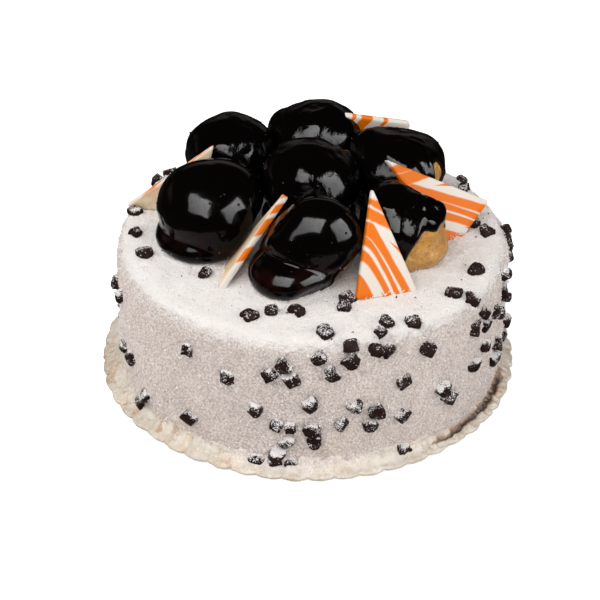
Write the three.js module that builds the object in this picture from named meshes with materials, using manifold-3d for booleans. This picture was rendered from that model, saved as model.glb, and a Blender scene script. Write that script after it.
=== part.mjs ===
// A round cream cake under white crumb dust, with chocolate chips pressed into it and seven
// glazed cream puffs and five marbled chocolate shards on top. Millimetres, +Z up. The origin
// is the middle of the flat underside, and -Y is the side that faces the viewer.
import * as THREE from "three";
import { mergeVertices } from "three/addons/utils/BufferGeometryUtils.js";
import Module from "manifold-3d";

const wasm = await Module();
wasm.setup();

// Driving dimensions.
const gap = 0.3; // air between pieces that touch
const cake = { radius: 100, top: 77, base: 3.9, shoulder: 9, tuck: 1.2, tuckHeight: 1.6, columns: 60 };
const wallLevels = [26, 47];
// The wall's slow waves: how many round, millimetres in and out, and where each starts.
const wallWaves = [[2, 0.6, 0.6], [3, 0.4, 2.1], [7, 0.25, 1.0]];
const shoulderSteps = [0, 22, 45, 68, 90];
const topRingInset = 45;
const foot = {
  radius: 108.6, scallops: 52, scallopDepth: 1.9, undercut: 5, rimLow: 1.0, rimHigh: 2.6, rimLift: 0.7,
  innerRadius: 101.5, height: 3.6, columnsPerScallop: 3, rimBevel: 0.4, mostSunk: 0.6,
  scallopMiddle: 0.6, spread: 0.9, spreadAt: -92, oval: 1.2, ovalAt: 20, liftAt: 30, ripples: 5, ripple: 0.6,
  airOver: 0.25,
};
const chip = {
  small: 5.6, large: 8.0, flat: 0.85, proud: 0.06, lowest: 5.5, tumble: 0.7, apart: 0.62, wider: 0.22,
};
// Chips round the back: how many, from where and over how many degrees, how high from and over, and
// how far each strays, in degrees and in millimetres.
const chipsBehind = {
  count: 42, from: 84, over: 190, low: 9, high: 59, turnStart: 0, upStart: 0.3, astray: 14,
};
const chipsOnTopBehind = {
  count: 8, from: 132, over: 118, low: 76, high: 9, turnStart: 0.4, upStart: 0, astray: 7,
};
const goldenSteps = { turn: 0.618034, up: 0.754878 };
const puff = {
  middle: 14, footCentre: 6.5, domeShare: 0.415, pressed: 1.4, flatEdge: 2.5, leastAhead: 0.05, lump: 0.8,
  columns: 18,
};
const lobeCrease = 0.7; // how soft the crease round a lobe is, of the puff's own
// The rings of points up a puff, as degrees above level seen from its middle.
const puffRings = [-38, -31, -22, -12, -2, 9, 23, 41, 63];
const glazeCoat = {
  thickness: 1.5, lip: 0.9, lipWidth: 0.22, below: 1.3, pool: 1.2, poolLevel: -0.3, poolSpread: 0.2,
  lipAt: 0.8, lipSpread: 0.7, edgeSteepness: 8, lowestEdge: -1.1,
  drips: 5, drip: 0.06, fineDrips: 11, fineDrip: 0.03,
};
const glazeFloor = -2; // how far under the cake's top the hollow in a glaze skin is cut
const shardThickness = 3.4;
const shardCorner = 2.2;
const shardCornerGrowth = 2.4; // how far a shard's corner moves out for each millimetre its sides do

// Directions round a puff are degrees anticlockwise from +X. A puff is a dome on a foot lobe that
// sits a little to one side, with a crease between. Other lobes are x, y, height of the middle,
// radius and half the height. Knobs push the surface out or in: degrees round, degrees up, degrees
// across, millimetres. Flats are where a puff leans on something: degrees round, degrees up,
// millimetres from its middle. Bare is where crust shows under the glaze.
const puffs = {
  front_left: {
    x: -51, y: -9, dome: 26.2, top: 41.4, share: 0.51, foot: { x: -1.5, y: -2.5, radius: 23.8, height: 10.5 },
    crease: 0.9, lobes: [[4.5, -4.5, 14, 22, 15]], flats: [[-8.4, -36.5, 15.5]],
    knobs: [[122, 34, 34, -1.4], [95, 8, 30, -2.2], [215, 60, 40, 0.6]],
  },
  front: {
    x: 0.5, y: -46.5, dome: 24, deep: 17.5, top: 40.4, share: 0.507, domeX: -0.5, domeY: 7.3,
    foot: { x: -11.4, y: 0.5, radius: 20.5, height: 11 }, crease: 1.6,
    lobes: [[-12, 9, 13, 14.5, 13]], flats: [[-54, -30, 14.2], [171.5, 36.5, 23.2]],
    knobs: [[200, 2, 30, 0.6]], bare: { at: 8, span: 42, top: 2 },
  },
  centre: {
    x: -2, y: 5, dome: 25.0, top: 46.2, foot: { x: 0, y: 0, radius: 22.0, height: 13 }, crease: 3,
    knobs: [[250, 35, 28, 0.9], [330, 45, 30, -0.8]],
  },
  back_left: {
    x: -44, y: 38, dome: 22.8, top: 41.6, foot: { x: -1.5, y: 1.5, radius: 20.8, height: 13 }, crease: 3,
    knobs: [[165, 42, 30, -0.9], [280, 50, 34, 0.9]],
  },
  back: {
    x: -0.5, y: 51, dome: 23.6, top: 42.6, foot: { x: 0, y: 2, radius: 21.2, height: 13 }, crease: 3,
    knobs: [[25, 50, 36, 1.0], [190, 40, 34, 0.6]],
  },
  back_right: {
    x: 42, y: 27, dome: 23.6, top: 39.8, foot: { x: 1.5, y: 1, radius: 21.2, height: 13 }, crease: 3,
    knobs: [[200, 40, 30, -0.9], [20, 35, 34, 0.8], [232, 28, 24, 2.4], [150, 42, 28, 3.5]],
    bare: { at: -26, span: 24, top: 40 },
  },
  right: {
    x: 43.5, y: -19, dome: 20.2, top: 36.2, foot: { x: 2.2, y: 0.5, radius: 21.0, height: 15 }, crease: 4,
    knobs: [[6, 25, 20, 2.2], [42, 44, 27, -6.5], [120, 62, 26, 1.4], [60, 8, 30, -1.6], [200, 20, 34, -1.0]],
    bare: { at: -30, span: 62, top: 24 },
  },
};

// Shards: three corners of each triangular sheet, the tip first. The low ones are sunk.
const shards = {
  left: [[-51, 14, 118], [-97.2, 19.5, 78], [-60, 15.5, 75.5]],
  front: [[-13.3, -22, 112], [-44.7, -55, 76.6], [-42.2, -27.5, 74.5]],
  front_right: [[27.6, -31, 122], [21, -61.5, 77.4], [51.5, -51, 75]],
  right: [[34.9, 1.5, 119.2], [90, 15, 88], [71.5, -6.5, 71.5]],
  back: [[15, 48, 119], [50.5, 56, 110.6], [42, 61, 76]],
};

// Chips that show from the front: degrees round from -Y towards +X, millimetres up the wall and
// on over the rounded edge and the top, and how many lie together.
const chipGroups = [
  [-76, 54, 2], [-67, 27, 2], [-56, 9, 2], [-36, 60, 1], [-36, 19, 1], [-23, 52, 1], [-12, 33, 2],
  [-8, 60, 3], [-9, 5, 4], [-2, 24, 4], [0, 43, 1], [2, 70, 1], [8, 63, 2], [14, 73, 2], [15, 33, 4],
  [21, 74, 2], [27, 29, 1], [27, 49, 1], [28, 5, 1], [34, 65, 1], [42, 32, 2], [56, 62, 3], [57, 40, 2],
  [73, 56, 4], [70, 28, 2],
  [-128, 74, 1], [-99, 79, 1], [-86, 83, 1], [-73, 86, 1], [-51, 106, 1], [-21, 90, 1], [-15, 98, 1],
  [-6, 100, 1], [4, 83, 1], [14, 105, 2], [27, 82, 2], [53, 81, 2], [67, 85, 1], [74, 71, 1],
  [94, 88, 2], [97, 72, 1], [122, 78, 2],
];

const rad = THREE.MathUtils.degToRad;

// A repeatable number from 0 to 1 for any index.
function chance(i) {
  const s = Math.sin(i * 12.9898 + 4.1414) * 43758.5453;
  return s - Math.floor(s);
}

function smoothMax(a, b, width) {
  return 0.5 * (a + b + Math.hypot(a - b, width));
}

function smoothMin(a, b, width) {
  return 0.5 * (a + b - Math.hypot(a - b, width));
}

// A closed skin from a grid of rings, with one point at each pole. ringPoint(row, column).
function closedSkin(rows, columns, firstPole, lastPole, ringPoint) {
  const positions = [...firstPole.toArray()];
  for (let row = 0; row < rows; row++)
    for (let column = 0; column < columns; column++) positions.push(...ringPoint(row, column).toArray());
  positions.push(...lastPole.toArray());
  const at = (row, column) => 1 + row * columns + (column % columns);
  const last = 1 + rows * columns;
  const faces = [];
  for (let c = 0; c < columns; c++) {
    faces.push(0, at(0, c + 1), at(0, c));
    for (let r = 0; r + 1 < rows; r++) {
      faces.push(at(r, c), at(r, c + 1), at(r + 1, c + 1));
      faces.push(at(r, c), at(r + 1, c + 1), at(r + 1, c));
    }
    faces.push(at(rows - 1, c), at(rows - 1, c + 1), last);
  }
  const geometry = new THREE.BufferGeometry();
  geometry.setAttribute("position", new THREE.Float32BufferAttribute(positions, 3));
  geometry.setIndex(faces);
  return geometry;
}

function solidOf(geometry) {
  const bare = geometry.clone();
  bare.deleteAttribute("normal");
  bare.deleteAttribute("uv");
  const merged = mergeVertices(bare, 1e-4);
  return new wasm.Manifold(new wasm.Mesh({
    numProp: 3,
    vertProperties: new Float32Array(merged.attributes.position.array),
    triVerts: new Uint32Array(merged.index.array),
  }));
}

// The largest body of a solid, so that a loose scrap left by a cut is dropped.
function largest(solid) {
  return solid.decompose().reduce((a, b) => (b.volume() > a.volume() ? b : a));
}

// A named mesh of a solid that was made in place, with the mesh's own position at origin.
function meshOf(name, solid, material, origin = new THREE.Vector3()) {
  const made = solid.getMesh();
  const geometry = new THREE.BufferGeometry();
  const positions = new Float32Array(made.numVert * 3);
  for (let i = 0; i < made.numVert; i++)
    positions.set(made.vertProperties.subarray(i * made.numProp, i * made.numProp + 3), i * 3);
  geometry.setAttribute("position", new THREE.BufferAttribute(positions, 3));
  geometry.setIndex(new THREE.BufferAttribute(made.triVerts, 1));
  geometry.translate(-origin.x, -origin.y, -origin.z);
  geometry.computeVertexNormals();
  const mesh = new THREE.Mesh(geometry, material);
  mesh.name = name;
  mesh.position.copy(origin);
  return mesh;
}

// The coat was spread by hand, so the wall is not a true circle.
function wallRadius(angle) {
  return wallWaves.reduce((r, [count, high, start]) => r + high * Math.sin(count * angle + start), cake.radius);
}

function cakeGeometry() {
  const arc = shoulderSteps.map(rad);
  const profile = [
    [-cake.tuck, cake.base], [0, cake.base + cake.tuckHeight], ...wallLevels.map((level) => [0, level]),
    ...arc.map((t) => [-cake.shoulder * (1 - Math.cos(t)), cake.top - cake.shoulder * (1 - Math.sin(t))]),
    [-topRingInset, cake.top],
  ];
  return closedSkin(
    profile.length, cake.columns,
    new THREE.Vector3(0, 0, cake.base), new THREE.Vector3(0, 0, cake.top),
    (row, column) => {
      const angle = (column / cake.columns) * 2 * Math.PI;
      const [inset, z] = profile[row];
      const r = wallRadius(angle) + inset;
      return new THREE.Vector3(r * Math.cos(angle), r * Math.sin(angle), z);
    },
  );
}

// Degrees round from -Y towards +X, as the chip lists count.
function compass(degrees) {
  return rad(degrees - 90);
}

// One block of chocolate, turned at random, standing proud of the surface at a point.
function chipSolid(point, outward, index) {
  const size = [1, 2, 3].map((k) => chip.small + (chip.large - chip.small) * chance(index * 7 + k));
  size[2] *= chip.flat;
  const block = new THREE.BoxGeometry(...size);
  const turn = new THREE.Euler(
    (chance(index * 5 + 1) - 0.5) * chip.tumble, (chance(index * 5 + 2) - 0.5) * chip.tumble,
    chance(index * 5 + 3) * Math.PI,
  );
  const facing = new THREE.Quaternion().setFromUnitVectors(new THREE.Vector3(0, 0, 1), outward);
  const place = new THREE.Matrix4().compose(
    point.clone().addScaledVector(outward, size[2] * chip.proud),
    facing.multiply(new THREE.Quaternion().setFromEuler(turn)),
    new THREE.Vector3(1, 1, 1),
  );
  return solidOf(block.applyMatrix4(place));
}

// Chips spread out from the middle of a group at roughly a chip's width.
function groupOffset(group, count, k) {
  if (count === 1) return [0, 0];
  const turn = (chance(group) + k / count) * 2 * Math.PI;
  const reach = chip.large * (chip.apart + chip.wider * count * chance(group * 3 + k));
  return [reach * Math.cos(turn), reach * Math.sin(turn) * chip.tumble];
}

// A chip on the coat, so many millimetres up the wall and on over the edge and the top.
function chipAt(degrees, along, index) {
  const angle = compass(degrees);
  const round = new THREE.Vector3(Math.cos(angle), Math.sin(angle), 0);
  const up = new THREE.Vector3(0, 0, 1);
  const wallTop = cake.top - cake.shoulder;
  const bend = THREE.MathUtils.clamp((along - wallTop) / cake.shoulder, 0, Math.PI / 2);
  const inwards = Math.max(0, along - wallTop - (cake.shoulder * Math.PI) / 2);
  const outward = round.clone().multiplyScalar(Math.cos(bend)).addScaledVector(up, Math.sin(bend));
  const point = round.multiplyScalar(wallRadius(angle) - cake.shoulder - inwards)
    .addScaledVector(up, THREE.MathUtils.clamp(along, chip.lowest, wallTop))
    .addScaledVector(outward, cake.shoulder);
  return chipSolid(point, outward, index);
}

function chipSolids() {
  const solids = [];
  const add = (degrees, along) => solids.push(chipAt(degrees, along, solids.length + 1));
  for (const [degrees, along, count] of chipGroups) {
    const group = solids.length;
    for (let k = 0; k < count; k++) {
      const [across, up] = groupOffset(group, count, k);
      add(degrees + (across / cake.radius) * (180 / Math.PI), along + up);
    }
  }
  // The back is dotted by a rule: golden steps round and up, each chip a little off its step.
  for (const field of [chipsBehind, chipsOnTopBehind])
    for (let k = 0; k < field.count; k++) {
      const [round, up] = [1, 2].map((way) => field.astray * (chance(field.count * way + k) - 0.5));
      add(
        field.from + field.over * ((k * goldenSteps.turn + field.turnStart) % 1) + round,
        field.low + field.high * ((k * goldenSteps.up + field.upStart) % 1) + up,
      );
    }
  return solids;
}

// The cream runs out under the wall to a thin scalloped rim.
function rimRadius(angle) {
  const scallop = Math.sqrt(Math.abs(Math.sin((angle * foot.scallops) / 2))) - foot.scallopMiddle;
  const spread = foot.spread * Math.cos(angle - compass(foot.spreadAt));
  const oval = foot.oval * Math.cos(2 * (angle - compass(foot.ovalAt)));
  return foot.radius + spread - oval + foot.scallopDepth * scallop;
}

// The rim lifts off the floor a little at the front right and settles at the back left.
function rimLift(angle) {
  return foot.rimLift * (Math.cos(angle - compass(foot.liftAt)) + foot.ripple * Math.sin(foot.ripples * angle));
}

function footGeometry() {
  const columns = foot.scallops * foot.columnsPerScallop;
  const rows = [
    (angle) => [rimRadius(angle) - foot.undercut, 0],
    (angle) => [rimRadius(angle), foot.rimLow + Math.max(-foot.mostSunk, rimLift(angle))],
    (angle) => [rimRadius(angle) - foot.rimBevel, foot.rimHigh + rimLift(angle)],
    () => [foot.innerRadius, foot.height],
  ];
  return closedSkin(
    rows.length, columns, new THREE.Vector3(0, 0, 0), new THREE.Vector3(0, 0, foot.height),
    (row, column) => {
      const angle = (column / columns) * 2 * Math.PI;
      const [r, z] = rows[row](angle);
      return new THREE.Vector3(r * Math.cos(angle), r * Math.sin(angle), z);
    },
  );
}

// The direction so many degrees round from +X and up from level.
function pointing(round, up) {
  const level = Math.cos(rad(up));
  return new THREE.Vector3(level * Math.cos(rad(round)), level * Math.sin(rad(round)), Math.sin(rad(up)));
}

// How far a ray from a puff's middle runs before it leaves an ellipsoid.
function rayOut(direction, centre, radii) {
  const d = direction.clone().divide(radii);
  const o = centre.clone().negate().divide(radii);
  const a = d.dot(d);
  const b = d.dot(o);
  const c = o.dot(o) - 1;
  return (Math.sqrt(Math.max(0, b * b - a * c)) - b) / a;
}

// Where neighbours press together each is flat: the planes, as a direction and a distance.
function pressedFaces(p) {
  return Object.values(puffs).filter((q) => q !== p).map((q) => {
    const away = new THREE.Vector3(q.x - p.x, q.y - p.y, 0);
    const distance = away.length();
    const reach = (distance ** 2 + p.dome ** 2 - q.dome ** 2) / (2 * distance);
    return { away: away.divideScalar(distance), reach };
  });
}

// Broad lumps from -1.6 to 1.6, different for every seed.
function lumps(direction, seed) {
  const { x, y, z } = direction;
  const across = Math.sin(3.1 * x + seed) * Math.sin(2.7 * y + 1.3 * seed);
  return across + 0.6 * Math.sin(4.3 * z + 2.9 * x + 2.1 * seed);
}

// The puff's surface along a ray: a dome over a foot lobe, then the knobs and lumps.
function puffReach(p, seed, direction) {
  const domeHigh = p.top * (p.share ?? puff.domeShare);
  const domeCentre = new THREE.Vector3(p.domeX ?? 0, p.domeY ?? 0, p.top - domeHigh - puff.middle);
  const domeRadii = new THREE.Vector3(p.dome, p.deep ?? p.dome, domeHigh);
  const footCentre = new THREE.Vector3(p.foot.x, p.foot.y, puff.footCentre - puff.middle);
  const footRadii = new THREE.Vector3(p.foot.radius, p.foot.radius, p.foot.height);
  const dome = rayOut(direction, domeCentre, domeRadii);
  const under = rayOut(direction, footCentre, footRadii);
  let reach = smoothMax(dome, under, p.crease);
  for (const [x, y, up, radius, height] of p.lobes ?? []) {
    const centre = new THREE.Vector3(x, y, up - puff.middle);
    const lobe = rayOut(direction, centre, new THREE.Vector3(radius, radius, height));
    reach = smoothMax(reach, lobe, p.crease * lobeCrease);
  }
  for (const [round, up, distance] of p.flats ?? []) {
    const ahead = direction.dot(pointing(round, up));
    if (ahead > puff.leastAhead) reach = smoothMin(reach, distance / ahead, puff.flatEdge);
  }
  return reach + puff.lump * lumps(direction, seed) + knobs(p, direction);
}

function knobs(p, direction) {
  return p.knobs.reduce((sum, [round, up, across, out]) => {
    const apart = direction.angleTo(pointing(round, up)) / rad(across);
    return sum + out * Math.exp(-apart * apart);
  }, 0);
}

// Presses a reach flat against the neighbours and the cake.
function pressed(p, reach, direction, inset, floor) {
  let held = reach;
  for (const face of pressedFaces(p)) {
    const towards = direction.dot(face.away);
    if (towards > puff.leastAhead) held = smoothMin(held, (face.reach - inset) / towards, puff.pressed);
  }
  return direction.z < 0 ? Math.min(held, (puff.middle - floor) / -direction.z) : held;
}

// How thick the glaze is along a ray, below zero where the puff is bare. It pools low down and
// ends in a thicker lip above the crust.
function glazeDepth(p, direction) {
  const fromPool = (direction.z - glazeCoat.poolLevel) / glazeCoat.poolSpread;
  if (!p.bare) return glazeCoat.thickness + glazeCoat.pool * Math.exp(-(fromPool ** 2));
  const round = Math.atan2(direction.y, direction.x);
  const off = round - rad(p.bare.at);
  const share = Math.atan2(Math.sin(off), Math.cos(off)) / rad(p.bare.span);
  const drip = glazeCoat.drip * Math.sin(glazeCoat.drips * round + 1)
    + glazeCoat.fineDrip * Math.sin(glazeCoat.fineDrips * round);
  const rise = Math.sin(rad(p.bare.top)) - glazeCoat.lowestEdge;
  const edge = glazeCoat.lowestEdge + rise * Math.exp(-(share ** 4)) + drip;
  const above = (direction.z - edge) / glazeCoat.lipWidth;
  if (above <= 0) return Math.max(-glazeCoat.below, above * glazeCoat.edgeSteepness);
  const lip = glazeCoat.lip * Math.exp(-(((above - glazeCoat.lipAt) / glazeCoat.lipSpread) ** 2));
  return glazeCoat.thickness * Math.sqrt(Math.min(1, above)) + lip;
}

function puffSkin(p, reachAlong) {
  const middle = new THREE.Vector3(p.x, p.y, cake.top + puff.middle);
  const point = (round, up) => {
    const direction = pointing(round, up);
    return middle.clone().addScaledVector(direction, reachAlong(direction));
  };
  return solidOf(closedSkin(
    puffRings.length, puff.columns, point(0, -90), point(0, 90),
    (row, column) => point((column / puff.columns) * 360, puffRings[row]),
  ));
}

function puffSolid(p, seed, grown = 0, floor = gap) {
  const inset = glazeCoat.thickness + gap - grown;
  return puffSkin(p, (d) => pressed(p, puffReach(p, seed, d) + grown, d, inset, floor));
}

function glazedSolid(p, seed, grown = 0) {
  const reach = (d) => puffReach(p, seed, d) + glazeDepth(p, d) + grown;
  return puffSkin(p, (d) => pressed(p, reach(d), d, gap / 2 - grown, gap - grown / 2));
}

function glazeSolid(p, seed) {
  return largest(glazedSolid(p, seed).subtract(puffSolid(p, seed, gap, glazeFloor)));
}

// The frame of a shard: its middle, and axes along its long side, across it and through it.
function shardFrame(corners) {
  const [tip, one, two] = corners.map((c) => new THREE.Vector3(...c));
  const middle = tip.clone().add(one).add(two).divideScalar(3);
  const along = tip.clone().sub(middle).normalize();
  const through = one.clone().sub(tip).cross(two.clone().sub(tip)).normalize();
  const across = through.clone().cross(along);
  const frame = new THREE.Matrix4().makeBasis(along, across, through).setPosition(middle);
  const inverse = frame.clone().invert();
  return { frame, flat: [tip, one, two].map((c) => c.applyMatrix4(inverse)) };
}

// A triangle with round corners, drawn out by grow on every side.
function shardShape(flat, grow) {
  const n = flat.length;
  const out = flat.map((c) => c.clone().multiplyScalar(1 + (shardCornerGrowth * grow) / c.length()));
  const shape = new THREE.Shape();
  out.forEach((corner, i) => {
    const towards = (other) => corner.clone().add(other.clone().sub(corner).setLength(shardCorner));
    const from = towards(out[(i + n - 1) % n]);
    const to = towards(out[(i + 1) % n]);
    if (i === 0) shape.moveTo(from.x, from.y);
    else shape.lineTo(from.x, from.y);
    shape.quadraticCurveTo(corner.x, corner.y, to.x, to.y);
  });
  shape.closePath();
  return shape;
}

function shardGeometry(flat, grow = 0) {
  const depth = shardThickness + 2 * grow;
  const sheet = { depth, bevelEnabled: false, curveSegments: 3 };
  return new THREE.ExtrudeGeometry(shardShape(flat, grow), sheet).translate(0, 0, -depth / 2);
}

const finish = (color, roughness) => new THREE.MeshStandardMaterial({ color, roughness, metalness: 0 });
const dusted = finish(0xe6dedb, 0.95);
const cream = finish(0xe6dccb, 0.7);
const crust = finish(0xc08a45, 0.6);
const glaze = finish(0x0c0605, 0.08);
const marbled = finish(0xf08030, 0.35);

const group = new THREE.Group();
const placedShards = Object.entries(shards).map(([place, corners]) => ({ place, ...shardFrame(corners) }));
const shardCuts = placedShards.map(
  ({ frame, flat }) => solidOf(shardGeometry(flat, gap).applyMatrix4(frame)),
);
const clearOfShards = (solid) => largest(shardCuts.reduce((left, cut) => left.subtract(cut), solid));

const chipCuts = Object.values(puffs).flatMap(
  (p, seed) => [glazedSolid(p, seed, gap), puffSolid(p, seed, gap, gap / 2)],
);
chipCuts.push(solidOf(footGeometry().translate(0, 0, foot.airOver)));
const dotted = chipSolids().reduce((whole, one) => whole.add(one), solidOf(cakeGeometry()));
const coated = chipCuts.reduce((left, cut) => left.subtract(cut), dotted);
group.add(meshOf("cake_body", clearOfShards(coated), dusted));
group.add(meshOf("cream_foot", solidOf(footGeometry()), cream));

Object.entries(puffs).forEach(([place, p], seed) => {
  const origin = new THREE.Vector3(p.x, p.y, cake.top);
  group.add(meshOf("puff_" + place, clearOfShards(puffSolid(p, seed)), crust, origin));
  group.add(meshOf("glaze_" + place, clearOfShards(glazeSolid(p, seed)), glaze, origin));
});

for (const { place, frame, flat } of placedShards) {
  const shard = new THREE.Mesh(shardGeometry(flat), marbled);
  shard.name = "shard_" + place;
  shard.applyMatrix4(frame);
  group.add(shard);
}

export default group;
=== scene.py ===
import math

import bpy
import numpy as np
from mathutils import Euler, Matrix, Vector


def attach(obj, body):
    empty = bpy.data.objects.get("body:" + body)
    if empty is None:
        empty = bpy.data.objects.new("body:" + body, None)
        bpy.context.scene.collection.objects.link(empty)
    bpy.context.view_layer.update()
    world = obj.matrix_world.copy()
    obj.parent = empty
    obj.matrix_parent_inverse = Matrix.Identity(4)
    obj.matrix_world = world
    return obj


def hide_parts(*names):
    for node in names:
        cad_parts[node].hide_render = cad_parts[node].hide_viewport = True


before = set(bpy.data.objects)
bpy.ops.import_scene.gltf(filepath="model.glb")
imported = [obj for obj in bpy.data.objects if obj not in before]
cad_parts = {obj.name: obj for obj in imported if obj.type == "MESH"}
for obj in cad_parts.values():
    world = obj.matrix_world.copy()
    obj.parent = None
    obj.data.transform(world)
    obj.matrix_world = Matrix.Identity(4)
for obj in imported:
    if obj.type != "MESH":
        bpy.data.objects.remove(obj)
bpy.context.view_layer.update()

# Every size here is in millimetres, and a mesh turns it into metres as it is made.
mm = 0.001
rng = np.random.default_rng(41)


# Shader maths: a pattern is written as an expression on sockets.

class Signal:
    # a socket that carries a value
    def __init__(self, recipe, socket):
        self.recipe = recipe
        self.socket = socket

    def maths(self, operation, *values):
        return self.recipe.node("Math", {"operation": operation}, dict(enumerate(values)))

    def other(self, name):
        return Signal(self.recipe, self.recipe.pick(self.socket.node.outputs, name))

    def __add__(self, value):
        return self.maths("ADD", self, value)

    def __radd__(self, value):
        return self.maths("ADD", value, self)

    def __sub__(self, value):
        return self.maths("SUBTRACT", self, value)

    def __rsub__(self, value):
        return self.maths("SUBTRACT", value, self)

    def __mul__(self, value):
        return self.maths("MULTIPLY", self, value)

    def __rmul__(self, value):
        return self.maths("MULTIPLY", value, self)

    def most(self, value):
        return self.maths("MAXIMUM", self, value)

    def exponent(self):
        return self.maths("EXPONENT", self)

    def size(self):
        return self.maths("ABSOLUTE", self)

    def step(self, low, high):
        # 0 below low, 1 above high and a soft ramp between; low may be the larger
        settings = {"interpolation_type": "SMOOTHSTEP", "clamp": True}
        if low < high:
            return self.recipe.node("MapRange", settings, {"Value": self, "From Min": low, "From Max": high})
        return 1 - self.step(high, low)


class Recipe:
    # the nodes of one material, lamp or world
    def __init__(self, owner):
        owner.use_nodes = True
        self.owner = owner
        self.nodes = owner.node_tree.nodes
        self.links = owner.node_tree.links

    def pick(self, sockets, name):
        if isinstance(name, int):
            return sockets[name]
        return next(socket for socket in sockets if socket.name == name and socket.enabled)

    def put(self, socket, value):
        if isinstance(value, Signal):
            self.links.new(value.socket, socket)
        elif isinstance(value, tuple) and socket.type == "RGBA":
            socket.default_value = (*value, 1)
        else:
            socket.default_value = value

    def node(self, kind, settings=None, values=None, output=None):
        made = self.nodes.new("ShaderNode" + kind)
        for name, value in (settings or {}).items():
            setattr(made, name, value)
        for name, value in (values or {}).items():
            self.put(self.pick(made.inputs, name), value)
        if output:
            return Signal(self, self.pick(made.outputs, output))
        return Signal(self, next(socket for socket in made.outputs if socket.enabled))

    def mix(self, first, second, share):
        settings = {"data_type": "RGBA", "clamp_factor": True}
        return self.node("Mix", settings, {"Factor": share, "A": first, "B": second})

    def axis(self, vector, name):
        return self.node("SeparateXYZ", None, {0: vector}, name)

    def place(self):
        return self.node("NewGeometry", output="Position")

    def height(self):
        return self.axis(self.place(), "Z")

    def facing(self):
        # how far the true surface looks up, 1 for level ground
        return self.axis(self.node("NewGeometry", output="Normal"), "Z")

    def drawnOut(self, up):
        # position squeezed upwards, for grain that runs down a side
        return self.node("VectorMath", {"operation": "MULTIPLY"}, {0: self.place(), 1: (1, 1, up)}, "Vector")

    def noise(self, size, detail=2.0, where=None, rough=0.5):
        values = {"Vector": where or self.place(), "Scale": 1 / (size * mm)}
        return self.node("TexNoise", None, {**values, "Detail": detail, "Roughness": rough}, "Fac")

    def cells(self, size):
        return self.node("TexVoronoi", None, {"Vector": self.place(), "Scale": 1 / (size * mm)}, "Distance")

    def painted(self, name, output="Fac"):
        # a value that the mesh carries at its points
        return self.node("Attribute", {"attribute_name": name}, None, output)

    def bump(self, height, deep):
        return self.node("Bump", None, {"Height": height, "Distance": deep * mm, "Strength": 1.0}, "Normal")

    def finish(self, values):
        surface = self.nodes["Principled BSDF"]
        for name, value in values.items():
            self.put(surface.inputs[name], value)
        return self.owner


# Camera, floor and light

camera = {
    "focus": (-5.764, 0.0, 33.624),   # what the middle of the picture looks at
    "distance": 928.6,
    "above": 34.836,                  # degrees over the floor
    "roll": 1.224,
    "lens": 105.8,
    "sees": (0.02, 60),               # nearest and furthest, in metres
}

studio = {
    "floorSide": 9000,
    "floorColours": ((0.93, 0.93, 0.925), (0.916, 0.916, 0.911)),
    "floorDull": (0.03, 0.03, 0.03),  # what the glaze sees of the floor
    "floorGlow": 0.15,
    "floorShown": 0.4,                # more of the same for the camera alone
    "dark": 0.01,                     # what the glaze sees between the boxes
}

window = {"fills": False, "soft": 0.07}                             # seen in the glaze and nowhere else
sheet = {"fills": False, "soft": 0.45, "tint": (1.0, 0.86, 0.8)}     # the same, dim and warm
fill = {"shows": False}                                             # lights the crumbs, unseen in the glaze
boxes = {
    "leftBox": {**window, "turn": -20, "up": 50, "away": 1050, "wide": 860, "high": 860, "radiance": 16},
    "rightBox": {**window, "turn": 62, "up": 26, "away": 1050, "wide": 820, "high": 860, "radiance": 15},
    "backSheet": {**sheet, "turn": 168, "up": 14, "away": 1500, "wide": 2600, "high": 620, "radiance": 0.4},
    "sideSheet": {**sheet, "turn": -112, "up": 16, "away": 1500, "wide": 1500, "high": 640, "radiance": 0.35},
    "frontFill": {**fill, "turn": -20, "up": 50, "away": 1000, "wide": 860, "high": 860, "radiance": 2.7},
    "leftFill": {**fill, "turn": -88, "up": 42, "away": 1050, "wide": 700, "high": 700, "radiance": 3.5},
    "rightFill": {**fill, "turn": 62, "up": 26, "away": 1000, "wide": 820, "high": 860, "radiance": 2.3},
    "backFill": {**fill, "turn": 176, "up": 32, "away": 1200, "wide": 900, "high": 700, "radiance": 1.1},
    "overhead": {**fill, "turn": 0, "up": 88, "away": 1300, "wide": 1500, "high": 1300, "radiance": 0.5},
}

# how bright a painted box is in its dim corner, how much more across it and over it, and its cloth
boxCloth = {
    "dim": 0.35, "across": 0.5, "over": 0.5, "least": 0.55, "brushed": 0.9, "scale": 9, "squeeze": 0.3,
}


def aroundFocus(turnDegrees, upDegrees, away):
    turn, rise = math.radians(turnDegrees), math.radians(upDegrees)
    out = Vector((math.sin(turn) * math.cos(rise), -math.cos(turn) * math.cos(rise), math.sin(rise)))
    return Vector(camera["focus"]) * mm + out * away * mm


def makeCamera():
    lens = bpy.data.cameras.new("camera")
    lens.lens = camera["lens"]
    lens.clip_start, lens.clip_end = camera["sees"]
    holder = bpy.data.objects.new("camera", lens)
    tilt = Matrix.Rotation(math.radians(90 - camera["above"]), 4, "X")
    roll = Matrix.Rotation(math.radians(camera["roll"]), 4, "Z")
    place = Matrix.Translation(aroundFocus(0, camera["above"], camera["distance"]))
    holder.matrix_world = place @ tilt @ roll
    bpy.context.collection.objects.link(holder)
    bpy.context.scene.camera = holder


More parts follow.
